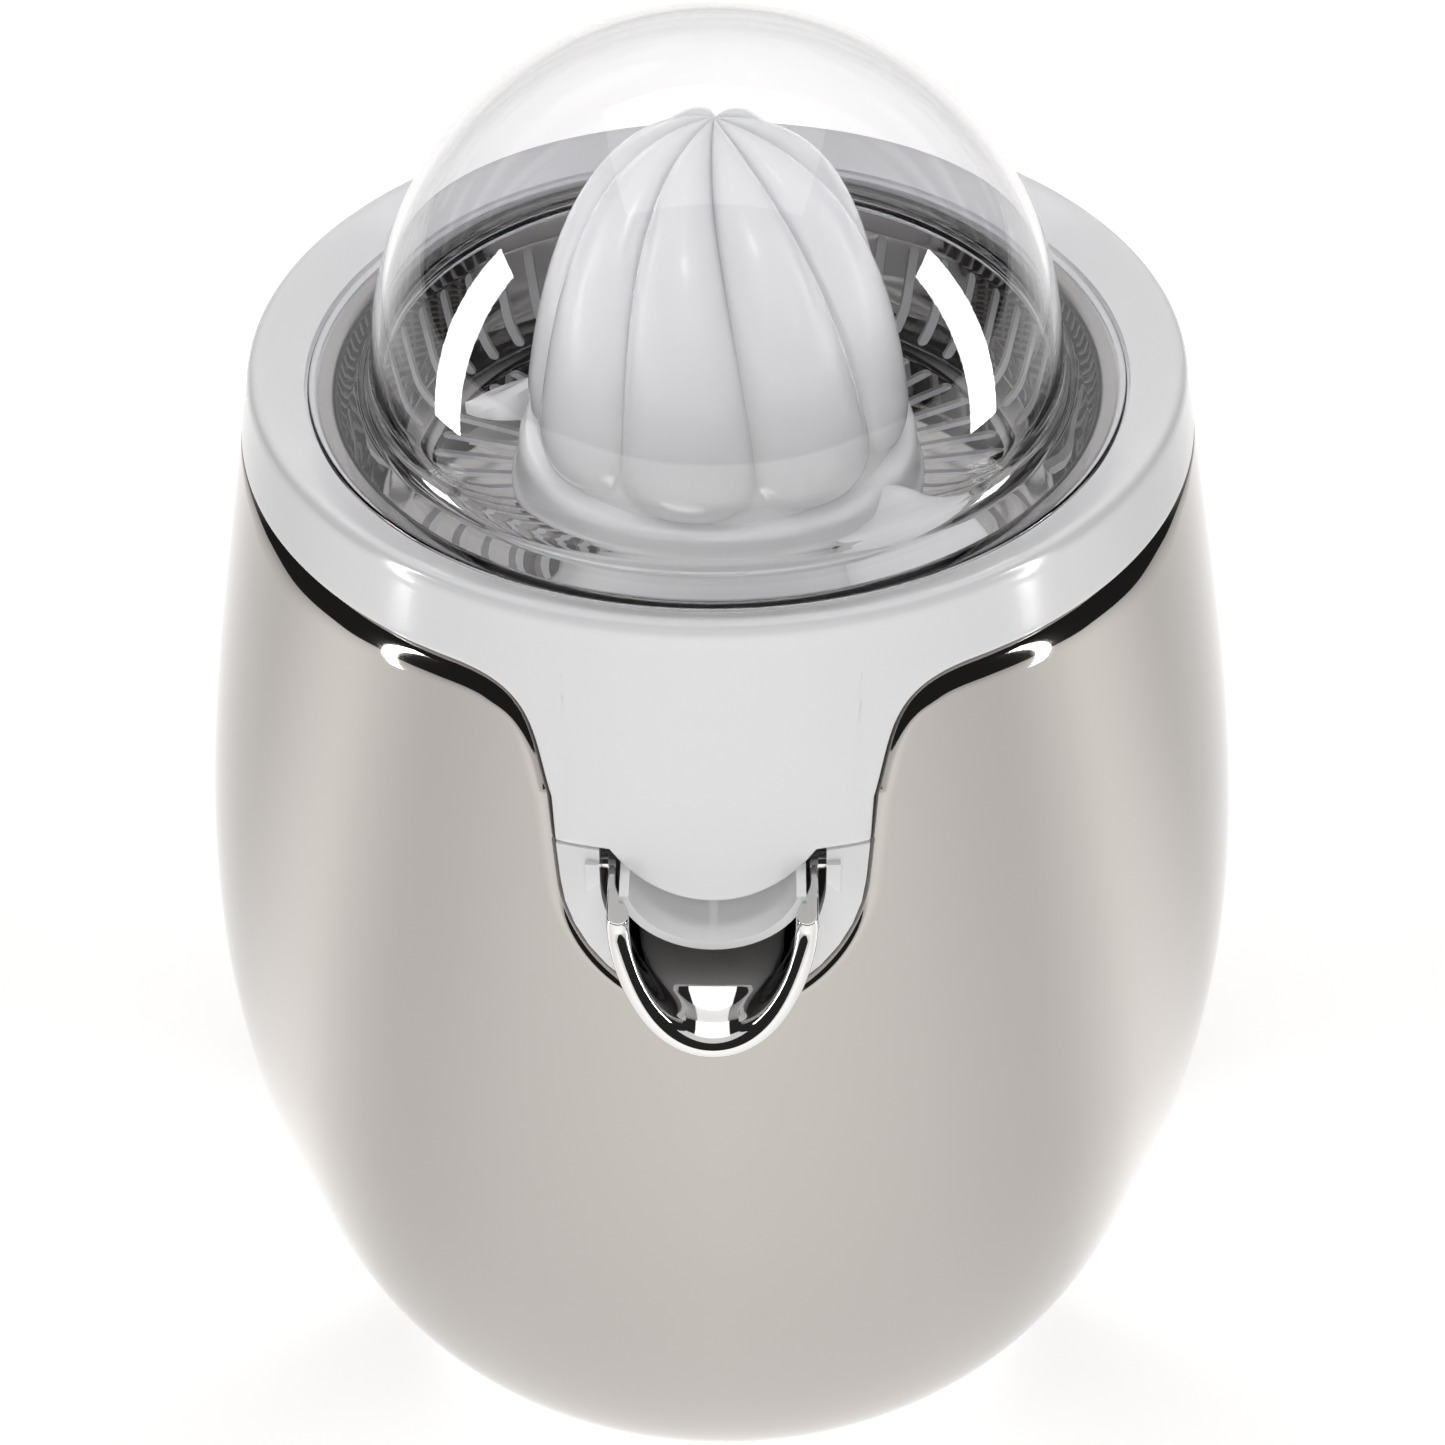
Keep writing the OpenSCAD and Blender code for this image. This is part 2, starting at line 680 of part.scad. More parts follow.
// Outside of the cone before its grooves are cut.
function cone_line() =
    bezier_line([[cone_r, cone_low_z], [cone_r - 2, 213], [15, 240], [0, cone_top_z]], 14);

// Pulp wing on the cone's flange.
module wing() {
    linear_extrude(height = 6) polygon(concat(
        arc(0, 0, 34, -56, -10, 6),
        [[46.5, -14], [wing_tip_r * cos(-21), wing_tip_r * sin(-21)], [45, -20]]));
}

// Ribbed cone on a flange with two wings, hollow inside round a hub that fits the shaft's flats.
module reamer_cone() {
    inner_r = cone_r - 3;
    socket_r = shaft_r + 0.08;
    color(white) difference() {
        union() {
            difference() {
                rotate_extrude($fn = 96) polygon(concat(
                    [[0, cone_flange_z], [cone_flange_r, cone_flange_z],
                        [cone_flange_r, cone_flange_z + 2.2], [cone_r - 1.5, cone_low_z - 3]],
                    cone_line()));
                for (k = [0:lobe_count - 1]) rotate([0, 0, (k + 0.5) * 360 / lobe_count])
                    translate([cone_r + 3.2, 0, cone_low_z]) rotate([0, -20, 0])
                        cylinder(r = 5, h = 90, $fn = 32);
            }
            for (a = [0, 180]) rotate([0, 0, a]) translate([0, 0, cone_flange_z]) wing();
        }
        difference() {
            rotate_extrude($fn = 96) polygon(concat(
                [[0, cone_flange_z - 1], [inner_r, cone_flange_z - 1], [inner_r - 1, 195]],
                [[inner_r - 4, 205], [inner_r - 12, 218], [hub_r + 1, 228], [0, 228]]));
            translate([0, 0, 181]) cylinder(r = hub_r, h = 60);
            for (a = [0, 90]) rotate([0, 0, a]) translate([-40, -0.8, 197]) cube([80, 1.6, 40]);
        }
        intersection() {
            translate([0, 0, cone_flange_z - 1])
                cylinder(r = socket_r, h = shaft_top_z - cone_flange_z + 2);
            translate([-flat_half - 0.1, -10, cone_flange_z - 1])
                cube([2 * flat_half + 0.2, 20, 60]);
        }
        translate([0, 0, cone_flange_z - 1])
            cylinder(r = socket_r, h = flats_z + 1.5 - cone_flange_z);
    }
}

// Clear dust cover: a cap of a sphere on a flat flange.
module dome_cover() {
    color([0.9, 0.9, 0.95, 0.35]) difference() {
        union() {
            intersection() {
                translate([0, 0, dome_z]) sphere(r = dome_r, $fn = 96);
                translate([0, 0, flange_z]) cylinder(r = 90, h = 90);
            }
            translate([0, 0, flange_z]) cylinder(r = flange_r, h = 1.5, $fn = 96);
        }
        translate([0, 0, dome_z]) sphere(r = dome_r - dome_t, $fn = 96);
    }
}

base_cover();
foot_ring();
base_screws();
cord_inlet();
body_shell();
chassis();
terminal_block();
motor_can();
stator();
rotor();
motor_pinion();
idler_axle();
idler_gear();
gearbox_cover();
gearbox_screws();
output_gear();
drive_shaft();
plunger();
return_spring();
micro_switch();
switch_lever();
deck();
deck_screws();
shaft_bush();
shaft_seal();
spout_frame();
spout();
spout_pins();
juice_bowl();
collar();
strainer();
cone_bush();
thrust_disc();
reamer_cone();
dome_cover();
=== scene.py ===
"""Looks of the citrus press juicer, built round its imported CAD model. Metres, +Z up, the spout at -Y."""

import math

import bmesh
import bpy
from mathutils import Matrix, Vector


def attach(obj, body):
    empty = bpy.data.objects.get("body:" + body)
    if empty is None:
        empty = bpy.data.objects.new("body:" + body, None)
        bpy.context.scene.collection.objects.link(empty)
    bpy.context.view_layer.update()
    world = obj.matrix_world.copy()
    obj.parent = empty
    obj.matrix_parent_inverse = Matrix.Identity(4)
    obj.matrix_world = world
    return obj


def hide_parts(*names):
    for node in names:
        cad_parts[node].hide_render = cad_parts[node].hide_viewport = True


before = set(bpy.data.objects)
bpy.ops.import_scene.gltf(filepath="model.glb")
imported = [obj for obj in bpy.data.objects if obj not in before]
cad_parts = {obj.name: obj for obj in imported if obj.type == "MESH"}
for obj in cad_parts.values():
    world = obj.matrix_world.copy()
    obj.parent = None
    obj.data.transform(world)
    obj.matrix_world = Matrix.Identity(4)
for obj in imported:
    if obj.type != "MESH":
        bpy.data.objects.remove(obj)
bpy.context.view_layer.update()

MM = 0.001
FULL_TURN = 360

# ---- sizes in millimetres, as in the CAD source ----
BODY_R = 95.0
WIDEST_Z = 90.0
BASE_R = 71.0
SEAM_Z = 5.4
SHELL_TOP = 193.5
STEEL_T = 1.1
WALL_T = 2.4
GAP = 0.35
RIM_R = 79.0
RIM_Z = 204.5
EGG_LOW = [(BASE_R, SEAM_Z), (BASE_R + 10, SEAM_Z + 1.9), (BODY_R, WIDEST_Z - 38), (BODY_R, WIDEST_Z)]
EGG_HIGH = [(BODY_R, WIDEST_Z), (BODY_R, WIDEST_Z + 38), (RIM_R + 8.5, RIM_Z - 47), (RIM_R, RIM_Z)]
FRAME_LOW = 139.5
PANEL_SEAM = 167.3
LIP_R = 20.2
LIP_Z = 159.3
DOME_R = 58.3
DOME_Z = 204.2
DOME_T = 1.5
FLANGE_R = 69.2
FLANGE_Z = 200.9
STRAINER_Z = 177.0
STRAINER_T = 0.8
SLOTS = 56
SLOT_W = 2.3
CONE_TOP = 249.3
LOBES = 8
LOBE_TURN = -9.0
SPOUT_R = 16.3
SPOUT_T = 1.2
SPOUT_Z = 161.2
SPOUT_FRONT = 96.0
SPOUT_REACH = 105.0
SPOUT_SLOPE = 8.0
PIVOT_Y = -80.0
INLET_Z = 14.0
INLET_R = 5.0


# ---- curves ----
def mix(a, b, t):
    return a + (b - a) * t


def bezier(c, t):
    u = 1 - t
    w = (u * u * u, 3 * t * u * u, 3 * t * t * u, t * t * t)
    return tuple(sum(k * p[i] for k, p in zip(w, c)) for i in range(len(c[0])))


def bezier_line(c, n):
    return [bezier(c, i / n) for i in range(n + 1)]


def egg_point(z):
    """Radius and slope dr/dz of the body's outline at height z."""
    curve = EGG_LOW if z < WIDEST_Z else EGG_HIGH
    low, high = 0.0, 1.0
    for _ in range(34):
        middle = (low + high) / 2
        if bezier(curve, middle)[1] < z:
            low = middle
        else:
            high = middle
    t = (low + high) / 2
    step = 1e-3
    a, b = bezier(curve, max(0, t - step)), bezier(curve, min(1, t + step))
    return bezier(curve, t)[0], (b[0] - a[0]) / max(b[1] - a[1], 1e-6)


def on_egg(angle, z, depth=0.0):
    """The point at angle (radians from -Y towards +X) and height z on the egg, moved inwards by depth, and its normal."""
    r, slope = egg_point(z)
    size = math.hypot(1, slope)
    nr, nz = 1 / size, -slope / size
    r, z = r - depth * nr, z - depth * nz
    out = Vector((math.sin(angle), -math.cos(angle), 0))
    return out * r + Vector((0, 0, z)), out * nr + Vector((0, 0, nz))


def smooth(low, high, x):
    t = min(1.0, max(0.0, (x - low) / (high - low)))
    return t * t * (3 - 2 * t)


def along(keys, x):
    """Value at x of a line through (x, value) keys, eased between them."""
    if x <= keys[0][0]:
        return keys[0][1]
    for (x0, v0), (x1, v1) in zip(keys, keys[1:]):
        if x <= x1:
            return mix(v0, v1, smooth(x0, x1, x))
    return keys[-1][1]


# ---- meshes ----
def make(name, verts, faces, body, material, replaces=(), sharp=35, normals=None):
    mesh = bpy.data.meshes.new(name)
    mesh.from_pydata([tuple(c * MM for c in v) for v in verts], [], faces)
    bm = bmesh.new()
    bm.from_mesh(mesh)
    if normals is None:
        bmesh.ops.remove_doubles(bm, verts=bm.verts, dist=1e-7)
        bmesh.ops.recalc_face_normals(bm, faces=bm.faces)
    bm.to_mesh(mesh)
    bm.free()
    for p in mesh.polygons:
        p.use_smooth = True
    if sharp:
        mesh.set_sharp_from_angle(angle=math.radians(sharp))
    if normals is not None:
        mesh.normals_split_custom_set_from_vertices(normals)
    piece = bpy.data.objects.new(name, mesh)
    bpy.context.scene.collection.objects.link(piece)
    piece.data.materials.append(material)
    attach(piece, body)
    if replaces:
        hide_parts(*replaces)
    return piece


def grid_faces(columns, rows, wrap_columns, wrap_rows):
    faces = []
    for i in range(columns if wrap_columns else columns - 1):
        j = (i + 1) % columns
        for k in range(rows if wrap_rows else rows - 1):
            m = (k + 1) % rows
            faces.append((i * rows + k, j * rows + k, j * rows + m, i * rows + m))
    return faces


def lathe(profile, steps, closed=True, bump=None):
    """Vertices and faces of a profile of (r, z) turned round the Z axis."""
    verts = []
    for i in range(steps):
        a = 2 * math.pi * i / steps
        verts += [(r * math.sin(a), -r * math.cos(a), z) for r, z in profile]
    return verts, grid_faces(steps, len(profile), True, closed)


def bevel(piece, width, segments=3, angle=35):
    m = piece.modifiers.new("edge", "BEVEL")
    m.width = width * MM
    m.segments = segments
    m.limit_method = "ANGLE"
    m.angle_limit = math.radians(angle)
    m.harden_normals = True
    return piece


# ---- materials ----
def node_of(tree, kind, x=0, y=0, **values):
    n = tree.nodes.new(kind)
    n.location = (x, y)
    for key, value in values.items():
        if hasattr(n, key):
            setattr(n, key, value)
        else:
            n.inputs[key.replace("_", " ")].default_value = value
    return n


def finish(
    name, colour, metallic=0.0, rough=0.3, vary=0.04, tint=0.03, bump=0.05, scale=60.0, grain=900.0,
    stretch=(1, 1, 1), coat=0.0, subsurface=0.0, shine=0.5,
):
    """A principled surface whose colour, roughness and fine relief vary with two noises: a broad one and a grain."""
    m = bpy.data.materials.new(name)
    m.use_nodes = True
    t = m.node_tree
    t.nodes.clear()
    out = node_of(t, "ShaderNodeOutputMaterial", 900)
    s = node_of(t, "ShaderNodeBsdfPrincipled", 600)
    t.links.new(s.outputs[0], out.inputs[0])
    where = node_of(t, "ShaderNodeTexCoord", -900)
    spread = node_of(t, "ShaderNodeMapping", -700)
    spread.inputs["Scale"].default_value = stretch
    t.links.new(where.outputs["Object"], spread.inputs[0])
    broad = node_of(t, "ShaderNodeTexNoise", -400, 200, Scale=scale, Detail=4.0)
    fine = node_of(t, "ShaderNodeTexNoise", -400, -200, Scale=grain, Detail=3.0)
    t.links.new(where.outputs["Object"], broad.inputs["Vector"])
    t.links.new(spread.outputs[0], fine.inputs["Vector"])
    shades = node_of(t, "ShaderNodeValToRGB", -100, 200)
    shades.color_ramp.elements[0].position = 0.3
    shades.color_ramp.elements[1].position = 0.7
    shades.color_ramp.elements[0].color = (*[c * (1 - tint) for c in colour], 1)
    shades.color_ramp.elements[1].color = (*[min(1, c * (1 + tint)) for c in colour], 1)
    t.links.new(broad.outputs["Fac"], shades.inputs[0])
    t.links.new(shades.outputs[0], s.inputs["Base Color"])
    span = node_of(t, "ShaderNodeMapRange", -100, -100)
    span.inputs["To Min"].default_value = max(0.0, rough - vary)
    span.inputs["To Max"].default_value = rough + vary
    t.links.new(broad.outputs["Fac"], span.inputs["Value"])
    t.links.new(span.outputs[0], s.inputs["Roughness"])
    if bump:
        b = node_of(t, "ShaderNodeBump", 300, -300, Strength=bump, Distance=0.0002)
        t.links.new(fine.outputs["Fac"], b.inputs["Height"])
        t.links.new(b.outputs[0], s.inputs["Normal"])
    s.inputs["Metallic"].default_value = metallic
    s.inputs["Specular IOR Level"].default_value = shine
    s.inputs["Coat Weight"].default_value = coat
    s.inputs["Coat Roughness"].default_value = 0.04
    s.inputs["Subsurface Weight"].default_value = subsurface
    s.inputs["Subsurface Radius"].default_value = (0.012, 0.012, 0.013)
    s.inputs["Subsurface Scale"].default_value = 1.0
    return m


def clear_plastic():
    """Clear polycarbonate: smooth glass that lets lamps through to what is under it, with a faint violet tint."""
    m = bpy.data.materials.new("clear_dome")
    m.use_nodes = True
    t = m.node_tree
    t.nodes.clear()
    out = node_of(t, "ShaderNodeOutputMaterial", 900)
    s = node_of(t, "ShaderNodeBsdfPrincipled", 300)
    s.inputs["Base Color"].default_value = (0.985, 0.982, 0.992, 1)
    s.inputs["Transmission Weight"].default_value = 1.0
    s.inputs["IOR"].default_value = 1.49
    where = node_of(t, "ShaderNodeTexCoord", -600)
    haze = node_of(t, "ShaderNodeTexNoise", -300, 0, Scale=40.0, Detail=3.0)
    span = node_of(t, "ShaderNodeMapRange", 0, -100)
    span.inputs["To Min"].default_value = 0.0
    span.inputs["To Max"].default_value = 0.012
    t.links.new(where.outputs["Object"], haze.inputs["Vector"])
    t.links.new(haze.outputs["Fac"], span.inputs["Value"])
    t.links.new(span.outputs[0], s.inputs["Roughness"])
    clear = node_of(t, "ShaderNodeBsdfTransparent", 300, -300)
    clear.inputs["Color"].default_value = (0.95, 0.95, 0.96, 1)
    path = node_of(t, "ShaderNodeLightPath", 300, 300)
    both = node_of(t, "ShaderNodeMixShader", 650)
    t.links.new(path.outputs["Is Shadow Ray"], both.inputs[0])
    t.links.new(s.outputs[0], both.inputs[1])
    t.links.new(clear.outputs[0], both.inputs[2])
    t.links.new(both.outputs[0], out.inputs[0])
    return m


SHELL_STEEL = finish(
    "shell_steel", (0.445, 0.42, 0.40), 1.0, rough=0.05, vary=0.012, tint=0.012, bump=0.004, scale=9, grain=500
)
BRIGHT_STEEL = finish(
    "bright_steel", (0.72, 0.71, 0.70), 1.0, rough=0.035, vary=0.015, tint=0.02, bump=0.006, scale=30, grain=700
)
SIEVE_STEEL = finish(
    "sieve_steel", (0.56, 0.545, 0.53), 1.0, rough=0.035, vary=0.015, tint=0.02, bump=0.006, scale=30, grain=700
)
SCREW_STEEL = finish("screw_steel", (0.55, 0.54, 0.53), 1.0, rough=0.32, vary=0.08, bump=0.2, grain=1500)
WHITE = finish(
    "white_plastic", (0.83, 0.83, 0.84), rough=0.16, vary=0.03, tint=0.006, bump=0.015, scale=25, coat=0.35
)
CONE_WHITE = finish(
    "cone_plastic", (0.80, 0.80, 0.81), rough=0.14, vary=0.03, tint=0.01, bump=0.01, scale=25, subsurface=0.35,
    coat=0.3,
)
GREY = finish("grey_plastic", (0.17, 0.175, 0.19), rough=0.5, vary=0.06, tint=0.05, bump=0.25, grain=1800)
DARK = finish("dark_plastic", (0.02, 0.02, 0.022), rough=0.4, vary=0.08, tint=0.1, bump=0.2, grain=1800)
NYLON = finish("nylon", (0.68, 0.66, 0.56), rough=0.38, vary=0.06, tint=0.03, bump=0.1, subsurface=0.15)
COPPER = finish(
    "copper_winding", (0.62, 0.25, 0.11), 1.0, rough=0.33, vary=0.1, tint=0.2, bump=0.8, stretch=(0.15, 0.15, 3)
)
BRASS = finish("brass_gear", (0.62, 0.46, 0.19), 1.0, rough=0.28, vary=0.08, tint=0.08, bump=0.15)
RUBBER = finish("dark_rubber", (0.016, 0.016, 0.017), rough=0.75, vary=0.08, tint=0.15, bump=0.5, grain=2400)
GREY_RUBBER = finish("grey_rubber", (0.12, 0.12, 0.125), rough=0.65, vary=0.08, tint=0.1, bump=0.4, grain=2400)
CLEAR = clear_plastic()

FINISH_OF_NODES = [
    (WHITE, "base_cover deck terminal_block spout_frame juice_bowl collar"),
    (CONE_WHITE, "reamer_cone"),
    (GREY, "chassis gearbox_cover"),
    (DARK, "micro_switch"),
    (NYLON, "idler_gear output_gear plunger cone_bush"),
    (CLEAR, "dome_cover"),
    (SHELL_STEEL, "body_shell"),
    (BRIGHT_STEEL, "spout strainer spout_pins thrust_disc drive_shaft"),
    (SCREW_STEEL, "base_screws motor_can rotor idler_axle gearbox_screws return_spring switch_lever deck_screws"),
    (COPPER, "stator"),
    (BRASS, "motor_pinion shaft_bush"),
    (RUBBER, "foot_ring shaft_seal"),
    (GREY_RUBBER, "cord_inlet"),
]


def paint_nodes():
    for material, names in FINISH_OF_NODES:
        for name in names.split():
            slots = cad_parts[name].material_slots
            for slot in slots:
                slot.link = "OBJECT"
                slot.material = material
            if not len(slots):
                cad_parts[name].data.materials.append(material)


# ---- the opening at the front of the shell ----
def throat_path(grow=0.0):
    """Half of the opening's edge, as (angle, z) from the front centre up to the top of the shell."""
    low = bezier_line([(0, FRAME_LOW - grow), (14 + grow, FRAME_LOW - grow), (23.6 + grow, 150 - grow), (24.2 + grow, 161)], 26)
    middle = [(mix(24.2, 25.4, t) + grow, mix(161, 175, t)) for t in (0.25, 0.5, 0.75)]
    high = bezier_line([(25.4 + grow, 175), (28 + grow, 184), (27 + grow, SHELL_TOP - 0.5), (40 + grow, SHELL_TOP)], 26)
    return [(math.asin(x / egg_point(z)[0]), z) for x, z in low + middle + high]


def closed_path(half, top_z, count):
    """The whole edge round the body: the half path, then level round the back, then the half path mirrored."""
    start = half[-1][0]
    back = [(mix(start, 2 * math.pi - start, i / count), top_z) for i in range(1, count)]
    mirrored = [(2 * math.pi - a, z) for a, z in reversed(half[1:])]
    return half + back + mirrored


def path_frames(path):
    """For each point of a closed path on the egg: its angle, height, and the unit direction away from the opening."""
    n = len(path)
    flat = []
    for a, z in path:
        flat.append((a * egg_point(z)[0], z))
    turn = 2 * math.pi
    frames = []
    for i, (a, z) in enumerate(path):
        r = egg_point(z)[0]
        a0, z0 = path[i - 1] if i else (path[-1][0] - turn, path[-1][1])
        a1, z1 = path[(i + 1) % n] if i + 1 < n else (path[0][0] + turn, path[0][1])
        dx, dz = (a1 - a0) * r, z1 - z0
        size = math.hypot(dx, dz)
        frames.append((a, z, dz / size, -dx / size))
    return frames


# Width of the rolled edge against the angle from the front, in degrees: broad at the shoulders, thin at the back.
ROLL_KEYS = [(0, 2.6), (14, 2.4), (19, 2.6), (24, 4.2), (31, 4.7), (38, 5.2), (46, 6.3), (56, 7.4), (64, 5.6), (71, 2.8), (78, 0.6)]
ROLL_STEPS = 12
SKIN_ROWS = 64
INNER_ROWS = 12


def around_inlet(a, z):
    """Moves a point of the skin away from the cord's hole, so that one face of the grid spans the hole."""
    r = egg_point(z)[0]
    x, h = (a - math.pi) * r, z - INLET_Z
    distance = math.hypot(x, h)
    reach = INLET_Z - SEAM_Z - 0.2
    edge = INLET_R + 1.6
    if distance >= reach:
        return a, z
    grow = mix(edge, reach, distance / reach) / max(distance, 1e-6)
    return math.pi + x * grow / r, INLET_Z + h * grow


def spans_inlet(corners):
    """True if a face at the back encloses the axis of the cord's hole."""
    turn = 0.0
    for p, q in zip(corners, corners[1:] + corners[:1]):
        if p[1] < 0 or abs(p[2] - INLET_Z) > 2 * INLET_R:
            return False
        step = math.atan2(q[2] - INLET_Z, q[0]) - math.atan2(p[2] - INLET_Z, p[0])
        turn += (step + math.pi) % (2 * math.pi) - math.pi
    return abs(turn) > math.pi


def open_inlet(verts, faces):
    """Takes out the two faces over the cord's hole and joins the outer and inner skin round it."""
    holes = [f for f in faces if spans_inlet([verts[i] for i in f])]
    faces = [f for f in faces if f not in holes]
    outer, inner = sorted(holes, key=lambda f: -sum(math.hypot(*verts[i][:2]) for i in f))
    for k in range(4):
        m = (k + 1) % 4
        a, b = outer[k], outer[m]
        c, d = (min(inner, key=lambda i: math.dist(verts[i], verts[v])) for v in (a, b))
        faces.append((a, b, d, c))
    return faces


def shell_column(a, z, across, down, base_angle):
    """One column of the shell's skin from its rolled edge to the base, with normals, then back up the inside."""
    degrees = abs(math.degrees(a if a < math.pi else a - 2 * math.pi))
    wide = along(ROLL_KEYS, degrees)
    deep = 0.62 * wide
    r = egg_point(z)[0]

    def off(s):
        return a + across * s / r, z + down * s

    points, normals = [], []
    for k in range(ROLL_STEPS, 0, -1):
        phi = math.pi / 2 * k / ROLL_STEPS
        b, h = off(wide * (1 - math.sin(phi)))
        p, n = on_egg(b, h, deep * (1 - math.cos(phi)))
        tangent = on_egg(off(1)[0], off(1)[1])[0] - on_egg(a, z)[0]
        tangent.normalize()
        points.append(p)
        normals.append((n * (wide * math.cos(phi)) - tangent * (deep * math.sin(phi))).normalized())
    start = off(wide)
    pull = 16.0
    ahead = (start[0] + across * pull / r, start[1] + down * pull)
    lift = (base_angle, min(SEAM_Z + 55, start[1] - 20))
    for k in range(SKIN_ROWS + 1):
        b, h = bezier([start, ahead, lift, (base_angle, SEAM_Z)], k / SKIN_ROWS)
        p, n = on_egg(*around_inlet(b, max(SEAM_Z, h)))
        points.append(p)
        normals.append(n)
    for k in range(INNER_ROWS, -1, -1):
        b, h = bezier([start, ahead, lift, (base_angle, SEAM_Z)], k / INNER_ROWS)
        p, n = on_egg(*around_inlet(b, max(SEAM_Z, h)), STEEL_T)
        points.append(p)
        normals.append(-n)
    p, n = on_egg(a, z, deep + STEEL_T)
    points.append(p)
    normals.append(-n)
    return points, normals


def build_shell():
    half = throat_path()
    frames = path_frames(closed_path(half, SHELL_TOP, 330))
    lengths = [0.0]
    for (a0, z0, *_), (a1, z1, *_) in zip(frames, frames[1:]):
        lengths.append(lengths[-1] + math.hypot((a1 - a0) * 62, (z1 - z0) * 0.35))
    lengths_total = lengths[-1] + (2 * math.pi - frames[-1][0]) * 62
    verts, normals = [], []
    for (a, z, across, down), s in zip(frames, lengths):
        p, n = shell_column(a, z, across, down, 2 * math.pi * s / lengths_total)
        verts += p
        normals += n
    rows = len(verts) // len(frames)
    faces = [tuple(reversed(f)) for f in grid_faces(len(frames), rows, True, True)]
    faces = open_inlet(verts, faces)
    return make("steel_shell", verts, faces, "root", SHELL_STEEL, ["body_shell"], None, normals)


# ---- white trim round the top ----
def bib_path():
    """Half of the lower edge of the trim: the panel's lip, its seam, then up the side of the opening to the top."""
    path = []
    seam_x = math.sqrt(LIP_R**2 - (PANEL_SEAM - LIP_Z - LIP_R) ** 2)
    end = math.asin(seam_x / LIP_R)
    for i in range(23):
        t = end * i / 22
        path.append((LIP_R * math.sin(t), LIP_Z + LIP_R - LIP_R * math.cos(t)))
    side_x = 25.0 - GAP
    for i in range(1, 8):
        path.append((mix(seam_x, side_x - 0.6, i / 8), PANEL_SEAM))
    path.append((side_x - 0.25, PANEL_SEAM + 0.15))
    path.append((side_x, PANEL_SEAM + 0.5))
    path += [(mix(side_x, 25.4 - GAP, t), mix(PANEL_SEAM + 0.5, 175, t)) for t in (0.2, 0.4, 0.6, 0.8)]
    path += bezier_line([(25.4 - GAP, 175), (28 - GAP, 184), (27 - GAP, SHELL_TOP), (40 - GAP, SHELL_TOP + 0.4)], 26)
    return [(math.asin(x / egg_point(z)[0]), z) for x, z in path]


COLLAR_TOP = 203.4


def collar_inside():
    """The trim's section from its soft outer top edge inwards to the ledges, as (r, z)."""
    r_top = egg_point(COLLAR_TOP)[0]
    soft = bezier_line([(r_top, COLLAR_TOP), (r_top - 0.35, 206.7), (77.9, 207.1), (75.6, 205.9)], 12)
    slope = bezier_line([(75.6, 205.9), (73.4, 204.8), (71.2, 203.4), (FLANGE_R + 0.45, 202.55)], 8)
    ledges = [(FLANGE_R + 0.45, FLANGE_Z), (67.9, FLANGE_Z), (67.9, 199.9), (66.5, 199.9), (66.5, 197.9), (69, 197.9)]
    return soft[1:], slope[1:] + ledges


def collar_column(a, z, across, down, upper_angle):
    r = egg_point(z)[0]
    edge = 0.7
    points = []
    for k in range(5, -1, -1):
        phi = math.pi / 2 * k / 5
        s = edge * (1 - math.sin(phi))
        p, _ = on_egg(a - across * s / r, z - down * s, edge * (1 - math.cos(phi)))
        points.append(p)
    start = (a - across * edge / r, z - down * edge)
    rows = 26
    for k in range(1, rows + 1):
        t = k / rows
        b, h = bezier([start, (start[0] - across * 6 / r, start[1] - down * 6),
                       (upper_angle, mix(start[1], COLLAR_TOP, 0.6)), (upper_angle, COLLAR_TOP)], t)
        points.append(on_egg(b, h)[0])
    out = Vector((math.sin(upper_angle), -math.cos(upper_angle), 0))
    soft, rest = collar_inside()
    points += [out * pr + Vector((0, 0, pz)) for pr, pz in soft + rest]
    points.append(out * 70.3 + Vector((0, 0, 200.3)))
    points.append(out * 74.6 + Vector((0, 0, 202.6)))
    for k in range(9):
        t = 1 - k / 8
        b, h = bezier([start, (start[0] - across * 6 / r, start[1] - down * 6),
                       (upper_angle, mix(start[1], COLLAR_TOP, 0.6)), (upper_angle, COLLAR_TOP - 1.4)], t)
        points.append(on_egg(b, h, WALL_T)[0])
    return points


def build_collar():
    frames = path_frames(closed_path(bib_path(), SHELL_TOP + 0.4, 300))
    lengths = [0.0]
    for (a0, z0, *_), (a1, z1, *_) in zip(frames, frames[1:]):
        lengths.append(lengths[-1] + math.hypot((a1 - a0) * 78, (z1 - z0) * 0.3))
    total = lengths[-1] + (2 * math.pi - frames[-1][0]) * 78
    verts = []
    for (a, z, across, down), s in zip(frames, lengths):
        verts += collar_column(a, z, across, down, 2 * math.pi * s / total)
    rows = len(verts) // len(frames)
    faces = grid_faces(len(frames), rows, True, True)
    return make("white_trim", verts, faces, "bowl", WHITE, ["collar"], 40)


# ---- clear dome ----
def arc(cx, cz, r, a0, a1, n):
    """Points of an arc in the (r, z) plane, angles in degrees from +r."""
    return [
        (cx + r * math.cos(math.radians(mix(a0, a1, i / n))), cz + r * math.sin(math.radians(mix(a0, a1, i / n))))
        for i in range(n + 1)
    ]


